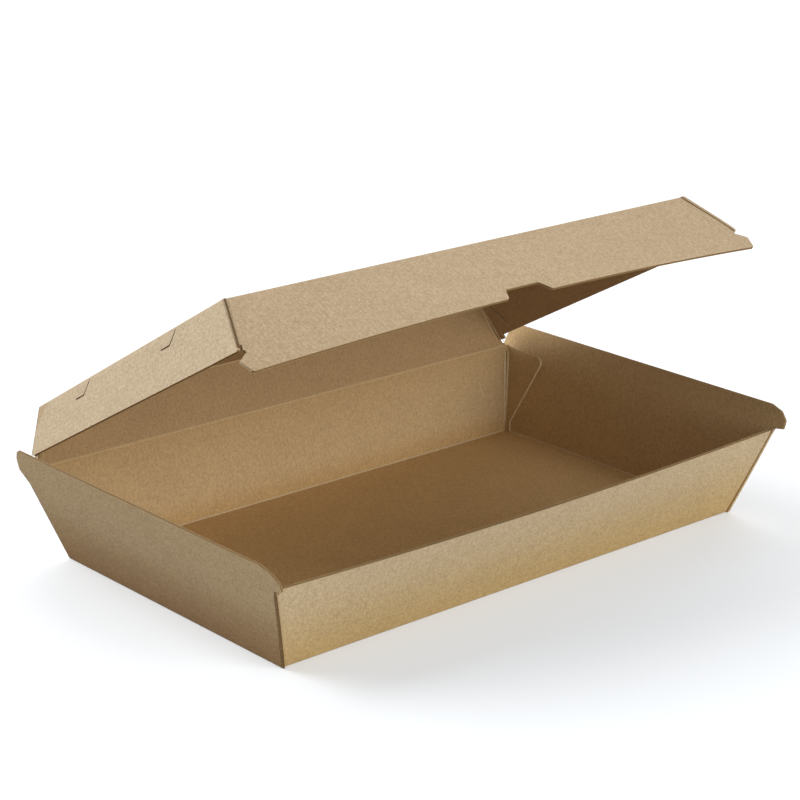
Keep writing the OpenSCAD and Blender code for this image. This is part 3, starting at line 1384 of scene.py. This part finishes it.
@dataclass
class Studio:
    """Plain pale floor, soft light and the camera that took the photograph.

    suns holds each lamp's name, strength, direction to it and angular size in
    degrees. The low panel is a soft box by the table's edge, as wide and high in
    metres as low_panel_size says.
    """

    place: tuple[float, float, float] = (-0.6535, -0.7458, 0.3942)
    azimuth: float = 41.175
    elevation: float = 18.491
    roll: float = 0.191
    focal_px: float = 2352.0
    centre_px: tuple[float, float] = (406.75, 403.72)
    frame_px: float = 800.0
    sensor_mm: float = 36.0
    floor_half: float = 9.0
    dome: float = 0.31
    suns: tuple[tuple[str, float, tuple[float, float, float], float], ...] = (
        ("key_left", 3.5, (-0.42, 0.76, 0.5), 50),
        ("key_right", 1.9, (0.65, 0.6, 0.45), 60),
        ("fill_front", 1.85, (0.28, -0.9, 0.34), 40),
    )
    low_panel: float = 3.2
    low_panel_at: tuple[float, float, float] = (0.15, -0.95, 0.14)
    low_panel_size: tuple[float, float] = (1.2, 0.25)
    low_panel_aim: tuple[float, float, float] = (0.0, 0.0, 0.05)

    def floor(self) -> bpy.types.Object:
        """Lay the floor.

        Returns:
            The floor.
        """
        bm = bmesh.new()
        bmesh.ops.create_grid(bm, x_segments=24, y_segments=24, size=self.floor_half)
        mesh = bpy.data.meshes.new("studio_floor")
        bm.to_mesh(mesh)
        bm.free()
        mesh.materials.append(PaintedStudioFloor().make())
        piece = new_object("studio_floor", mesh)
        return piece

    def light(self) -> None:
        """Hang the lights: a dome, two soft keys, a soft fill and a low panel."""
        world = bpy.data.worlds.new("studio_world")
        bpy.context.scene.world = world
        world.use_nodes = True
        tree = world.node_tree
        tree.nodes.clear()
        path = add_node(tree, "ShaderNodeLightPath")
        strength = add_node(
            tree,
            "ShaderNodeMapRange",
            {"Value": path.outputs["Is Camera Ray"], "To Min": self.dome, "To Max": 1.0},
        )
        sky = add_node(
            tree,
            "ShaderNodeBackground",
            {"Color": (1, 1, 1, 1), "Strength": strength.outputs[0]},
        )
        add_node(tree, "ShaderNodeOutputWorld", {0: sky.outputs[0]})
        for name, energy, towards, spread in self.suns:
            lamp = bpy.data.lights.new(name, "SUN")
            lamp.energy = energy
            lamp.angle = math.radians(spread)
            light = new_object(name, lamp)
            light.rotation_euler = Vector(towards).to_track_quat("Z", "Y").to_euler()
        lamp = bpy.data.lights.new("low_panel", "AREA")
        lamp.shape = "RECTANGLE"
        lamp.size, lamp.size_y = self.low_panel_size
        lamp.energy = self.low_panel
        panel = new_object("low_panel", lamp)
        place = Vector(self.low_panel_at)
        panel.location = place
        aim = place - Vector(self.low_panel_aim)
        panel.rotation_euler = aim.to_track_quat("Z", "Y").to_euler()
        panel.visible_camera = False

    def camera(self) -> bpy.types.Object:
        """Set the camera up as the photograph's was.

        Returns:
            The camera.
        """
        az, el = math.radians(self.azimuth), math.radians(self.elevation)
        roll = math.radians(self.roll)
        forward = Vector(
            (math.sin(az) * math.cos(el), math.cos(az) * math.cos(el), -math.sin(el))
        )
        right = forward.cross(Vector((0, 0, 1))).normalized()
        up = right.cross(forward)
        right, up = (
            right * math.cos(roll) + up * math.sin(roll),
            up * math.cos(roll) - right * math.sin(roll),
        )
        data = bpy.data.cameras.new("photo_camera")
        data.sensor_width = self.sensor_mm
        data.lens = self.focal_px * self.sensor_mm / self.frame_px
        data.shift_x = (self.frame_px / 2 - self.centre_px[0]) / self.frame_px
        data.shift_y = (self.centre_px[1] - self.frame_px / 2) / self.frame_px
        data.clip_end = 50.0
        camera = new_object("photo_camera", data)
        turn = Matrix((right, up, -forward)).transposed().to_4x4()
        camera.matrix_world = Matrix.Translation(self.place) @ turn
        bpy.context.scene.camera = camera
        return camera


# ---- The box


@dataclass(frozen=True)
class BoxSizes:
    """Sizes of the folded blank, in millimetres and radians, as the solids have them."""

    board: float = 1.2
    bottom_half_l: float = 132.0
    bottom_half_w: float = 75.0
    rim_z: float = 41.0
    front_flare: float = 13.5
    back_flare: float = 12.5
    end_lean: float = math.radians(18.8)
    tab_in: float = 2.25
    hinge_y: float = 87.5
    lid_half_l: float = 131.0
    lid_front: float = 74.0
    lid_back: float = 82.5
    lid_h: float = 25.5
    lid_corner_tops: tuple[float, float] = (21.0, 22.5)
    rear_inset: float = 5.0
    front_inset: float = 14.5
    rims_apart: float = 176.0
    side_play: float = 1.8
    flap_play: float = 1.7
    closed_rise: float = math.radians(0.6)
    lid_open: float = math.radians(30)

    def inner_half_l(self) -> float:
        """Half the tray's inner length at its rim."""
        lean = self.end_lean
        return self.bottom_half_l + self.rim_z * math.tan(lean) - self.board / math.cos(lean)

    def flap_lean(self) -> float:
        """Lean of the flap that passes the tray's front rim as the lid shuts.

        Returns:
            The lean from the upright of the lid's own frame, outward.
        """
        ahead = self.front_inset - self.rims_apart * (1 - math.cos(self.closed_rise))
        below = self.lid_h + self.rims_apart * math.sin(self.closed_rise)
        return math.atan(ahead / below) + math.asin(self.flap_play / math.hypot(ahead, below))

    def lid_place(self) -> Matrix:
        """Turn the lid's own frame over and swing it open about the hinge.

        Returns:
            The matrix from the lid's frame to the row frame.
        """
        return (
            Matrix.Translation((0, self.hinge_y, self.rim_z))
            @ Matrix.Rotation(-self.lid_open, 4, "X")
            @ Matrix.Translation((0, -self.hinge_y, self.lid_h))
            @ Matrix.Diagonal((1, 1, -1, 1))
        )

    def tray(self) -> Tray:
        """Set out the tray.

        Returns:
            The tray with its finishes.
        """
        finishes = BoardFinishes(
            # Painted light: golden and darker towards the bottom folds, as bounce and shade, and
            # darker still at the end walls' feet
            KraftLiner(
                "kraft_liner_tray_outside", colour="#b6a284", dark_grain="#937e5b",
                pale_grain="#d5c5a8", painted_light_tint=(0.97, 0.86, 0.60), painted_light_ends=(0.68, 0.56, 0.45),
            ),
            # Painted light: the inside floor and the walls' feet more golden and a little darker,
            # as shade and bounce
            KraftLiner(
                "kraft_liner_tray_inside", colour="#c1a47b", dark_grain="#a08760",
                pale_grain="#dfc192", painted_light_tint=(0.99, 0.90, 0.74), gilt_over=15.0,
                # Painted shade: the back wall darker up to the hinge's crease, where the lid
                # shades it
                gilt_middle=(0.0, INSIDE_ROW), painted_rim_shade=(0.70, 0.655, 0.58),
            ),
        )
        return Tray(
            node="tray", body="tray", board=self.board, finishes=finishes,
            half_l=self.bottom_half_l, end_lean=self.end_lean, tab_in=self.tab_in,
            front=self.bottom_half_w, front_lean=math.atan(self.front_flare / self.rim_z),
            back=self.bottom_half_w, back_lean=math.atan(self.back_flare / self.rim_z),
            half_open=self.inner_half_l(),
        )

    def lid(self) -> Lid:
        """Set out the lid.

        Returns:
            The lid with its finishes.
        """
        # One tint of painted light over the whole walls, with no gradient:
        # the side walls lighter and bluer than the top, flap and rear wall
        even = {"gilt_from": (self.lid_half_l, self.lid_front), "gilt_over": 1000.0}
        finishes = BoardFinishes(
            KraftLiner(
                "kraft_liner_lid_outside", stripe=0.022, painted_light_tint=(0.93, 0.915, 0.91),
                painted_light_ends=(1.06, 1.12, 1.235), **even,
            ),
            # Painted shade: a darker copy of the inside liner, for the lid's shaded inside
            KraftLiner(
                "kraft_liner_lid_inside_shaded", colour="#a38665", dark_grain="#89704f",
                pale_grain="#bb9e76", painted_light_tint=(0.88, 0.85, 0.78), painted_light_ends=(1.06, 1.08, 1.12),
                gilt_middle=(0.0, INSIDE_ROW), **even,
            ),
            # A darker copy of the scored liner, painted shade for the lid's inside, yet paler than
            # its inside liner as a painted highlight on the ridges and the hinge's crest
            worn_and_painted_light=KraftLiner(
                "kraft_liner_lid_scored_and_painted_light", colour="#b0966c", dark_grain="#997f58",
                pale_grain="#c2a97e",
            ),
        )
        side_in = self.inner_half_l() - self.side_play - self.lid_half_l
        return Lid(
            node="lid", body="lid", board=self.board, finishes=finishes,
            half_l=self.lid_half_l, end_lean=math.atan(side_in / self.lid_h),
            tab_in=self.tab_in, front=self.lid_front, front_lean=self.flap_lean(),
            back=self.lid_back, back_lean=math.atan(self.rear_inset / self.lid_h),
            corner_tops=self.lid_corner_tops, tab_edge=Face.CUT,
            half_open=self.inner_half_l(), place=self.lid_place(),
        )


def main() -> None:
    """Build the box and the studio, and report each piece."""
    logging.basicConfig(level=logging.INFO, format="%(name)s: %(message)s")
    bpy.context.scene.view_settings.view_transform = "Standard"
    studio = Studio()
    studio.camera()
    studio.floor()
    studio.light()
    sizes = BoxSizes()
    tray, lid = sizes.tray(), sizes.lid()
    # The wall buckled a little where it was folded round, by the right back corner
    wrinkles = ((122, 12, 119.5, 20), (119.5, 20, 119, 27))
    axis = Vector((0, sizes.hinge_y, sizes.rim_z))
    parts = (
        tray,
        lid,
        CreaseBeads(tray, wrinkles),
        CreaseBeads(lid),
        CornerSeamShades(tray),
        CornerSeamShades(lid),
        VentTabs(lid),
        HingeCrease(tray, lid, axis, tray.back_lean, sizes.lid_open - lid.back_lean),
    )
    for part in parts:
        piece = part.build()
        log.info("%s: %d faces", piece.name, len(piece.data.polygons))


if __name__ == "__main__":
    main()
